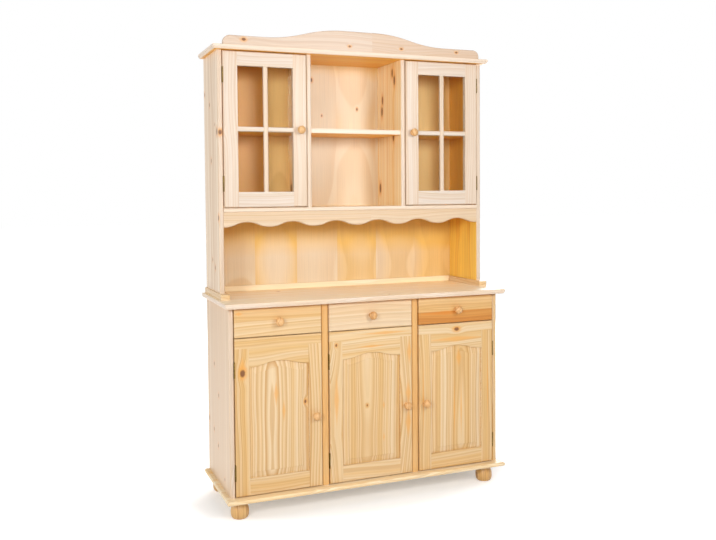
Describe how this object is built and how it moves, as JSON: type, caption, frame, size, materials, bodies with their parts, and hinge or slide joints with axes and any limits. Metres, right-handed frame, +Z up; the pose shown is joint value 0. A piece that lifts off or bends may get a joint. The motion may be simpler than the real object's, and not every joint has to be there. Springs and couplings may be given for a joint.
{
  "type": "hutch",
  "caption": "Pine hutch: base cabinet with panelled doors and drawers on bun feet, carrying an upper cabinet with glazed doors, open bays, scalloped valance and arched crest.",
  "frame": {"origin": "on the floor under the middle of the bounding box", "axes": "+Z up, the doors and drawers face -Y, +X to the right seen from the front"},
  "size_m": [1.194, 0.424, 1.881],
  "materials": {
    "pine": "clear satin lacquer on knotty pine",
    "window_glass": "clear polished",
    "hinge_brass": "dark bronzed"
  },
  "bodies": {
    "carcass": {"base_back_panel": "pine", "base_board": "pine", "base_divider_left": "pine", "base_divider_right": "pine", "base_hinges_centre": "hinge_brass", "base_hinges_left": "hinge_brass", "base_hinges_right": "hinge_brass", "base_shelf_centre": "pine", "base_shelf_left": "pine", "base_shelf_right": "pine", "base_side_left": "pine", "base_side_right": "pine", "bun_feet": "pine", "cornice_board": "pine", "crest_board": "pine", "door_stops": "pine", "drawer_runners_centre": "pine", "drawer_runners_left": "pine", "drawer_runners_right": "pine", "foot_runner_left": "pine", "foot_runner_right": "pine", "niche_back_rail": "pine", "partition_left": "pine", "partition_right": "pine", "upper_back_panel": "pine", "upper_bottom_board": "pine", "upper_hinges_left": "hinge_brass", "upper_hinges_right": "hinge_brass", "upper_shelf_centre": "pine", "upper_shelf_left": "pine", "upper_shelf_right": "pine", "upper_side_left": "pine", "upper_side_right": "pine", "valance": "pine", "worktop": "pine"},
    "base_door_left": {"door_frame_left": "pine", "door_panel_left": "pine", "door_hinges_left": "hinge_brass"},
    "drawer_left": {"drawer_front_left": "pine", "drawer_box_left": "pine", "drawer_bottom_left": "pine"},
    "base_door_centre": {"door_frame_centre": "pine", "door_panel_centre": "pine", "door_hinges_centre": "hinge_brass"},
    "drawer_centre": {"drawer_front_centre": "pine", "drawer_box_centre": "pine", "drawer_bottom_centre": "pine"},
    "base_door_right": {"door_frame_right": "pine", "door_panel_right": "pine", "door_hinges_right": "hinge_brass"},
    "drawer_right": {"drawer_front_right": "pine", "drawer_box_right": "pine", "drawer_bottom_right": "pine"},
    "glazed_door_left": {"glazed_frame_left": "pine", "glass_pane_left": "window_glass", "glazed_hinges_left": "hinge_brass"},
    "glazed_door_right": {"glazed_frame_right": "pine", "glass_pane_right": "window_glass", "glazed_hinges_right": "hinge_brass"}
  },
  "joints": [
    {"name": "base_door_left_swing", "type": "hinge", "parent": "carcass", "child": "base_door_left", "pos_m": [-0.5555, -0.17654, 0.39], "axis": [0, 0, 1], "range_deg": [-170, 0]},
    {"name": "base_door_centre_swing", "type": "hinge", "parent": "carcass", "child": "base_door_centre", "pos_m": [-0.1795, -0.17654, 0.39], "axis": [0, 0, 1], "range_deg": [-120, 0]},
    {"name": "base_door_right_swing", "type": "hinge", "parent": "carcass", "child": "base_door_right", "pos_m": [0.5555, -0.17654, 0.39], "axis": [0, 0, 1], "range_deg": [0, 170]},
    {"name": "glazed_door_left_swing", "type": "hinge", "parent": "carcass", "child": "glazed_door_left", "pos_m": [-0.5555, -0.04654, 1.48], "axis": [0, 0, 1], "range_deg": [-170, 0]},
    {"name": "glazed_door_right_swing", "type": "hinge", "parent": "carcass", "child": "glazed_door_right", "pos_m": [0.5555, -0.04654, 1.48], "axis": [0, 0, 1], "range_deg": [0, 170]},
    {"name": "drawer_left_slide", "type": "slide", "parent": "carcass", "child": "drawer_left", "axis": [0, -1, 0], "range_m": [0, 0.27]},
    {"name": "drawer_centre_slide", "type": "slide", "parent": "carcass", "child": "drawer_centre", "axis": [0, -1, 0], "range_m": [0, 0.27]},
    {"name": "drawer_right_slide", "type": "slide", "parent": "carcass", "child": "drawer_right", "axis": [0, -1, 0], "range_m": [0, 0.27]}
  ]
}
